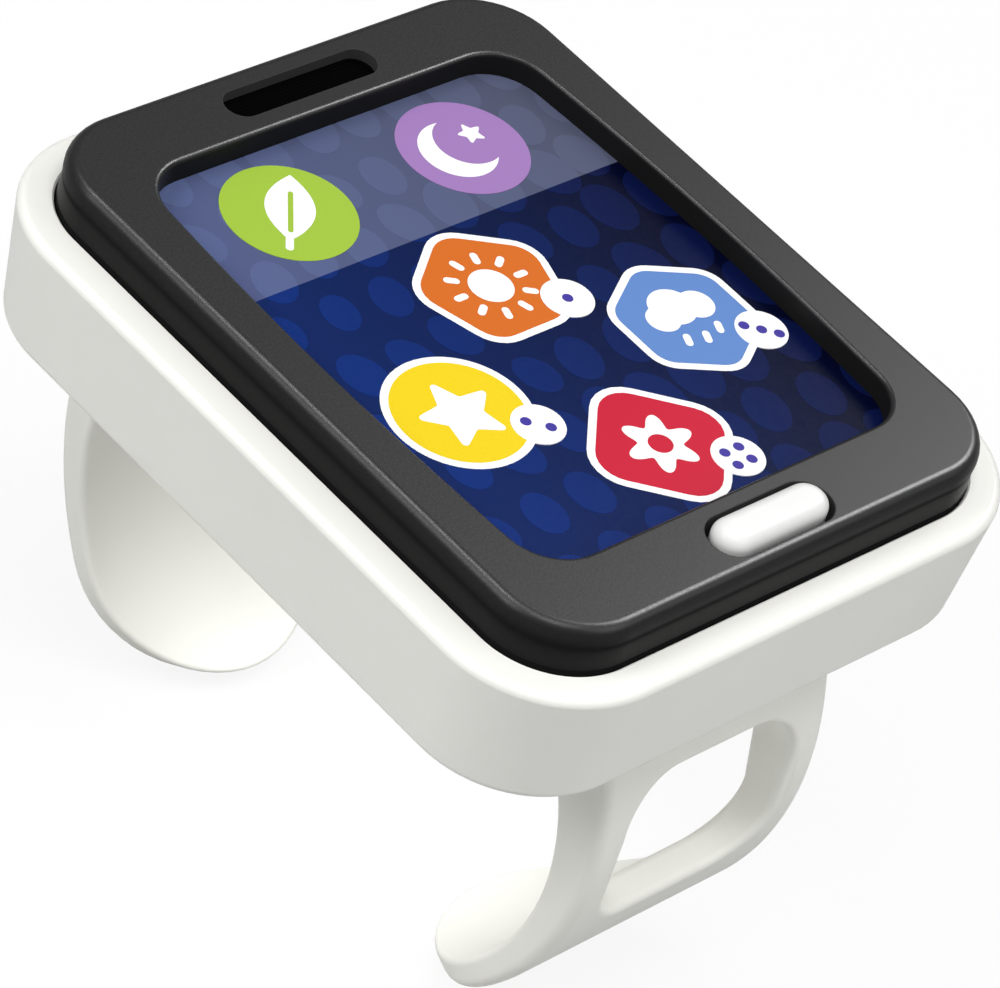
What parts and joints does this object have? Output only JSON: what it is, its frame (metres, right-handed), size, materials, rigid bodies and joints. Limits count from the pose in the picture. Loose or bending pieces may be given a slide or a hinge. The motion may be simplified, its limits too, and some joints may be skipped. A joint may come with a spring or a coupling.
{
  "type": "toy watch",
  "caption": "Toddler's pretend smart watch: rounded white case with a dark screen bezel, a push button below the screen and a stiff open cuff that clips round a wrist",
  "frame": {"origin": "on the surface that the cuff tips stand on, below the middle of the case", "axes": "+Z out of the screen, +Y towards 12 o'clock, +X towards 3 o'clock, along the wrist"},
  "size_m": [0.052, 0.0636, 0.0531],
  "materials": {
    "case_white": "satin moulded, warm white",
    "cuff_white": "satin moulded, flexible grade",
    "bezel_grey": "fine moulded satin",
    "button_white": "satin moulded",
    "printed_film": "printed, clear gloss laminate",
    "panel_white": "moulded",
    "silicone": "moulded",
    "black_cloth": "fine woven",
    "speaker_plastic": "moulded",
    "plated_steel": "nickel plated",
    "mylar": "formed film",
    "foam": "closed cell",
    "lead_red": "insulated",
    "board_green": "solder mask",
    "chip_black": "epoxy dome",
    "contact_brass": "plated spring strip"
  },
  "bodies": {
    "case": {"lower_case": "case_white", "cuff_arm_front": "cuff_white", "cuff_arm_rear": "cuff_white", "bezel": "bezel_grey", "screen_panel": "panel_white", "screen_label": "printed_film", "button_pad": "silicone", "speaker_cloth": "black_cloth", "speaker_frame": "speaker_plastic", "speaker_magnet": "plated_steel", "speaker_cone": "mylar", "speaker_gasket": "foam", "speaker_leads": "lead_red", "circuit_board": "board_green", "chip_cover": "chip_black", "board_screws": "plated_steel", "battery_cells": "plated_steel", "cell_springs": "contact_brass", "door_strip": "contact_brass", "battery_door": "case_white", "door_screw": "plated_steel", "case_screws": "plated_steel", "cuff_screws": "plated_steel"},
    "button": {"home_button": "button_white"}
  },
  "joints": [
    {"name": "home_press", "type": "slide", "parent": "case", "child": "button", "axis": [0, 0, -1], "range_m": [0, 0.0012], "stiffness_N_per_m": 800, "deforming": ["button_pad"]}
  ]
}
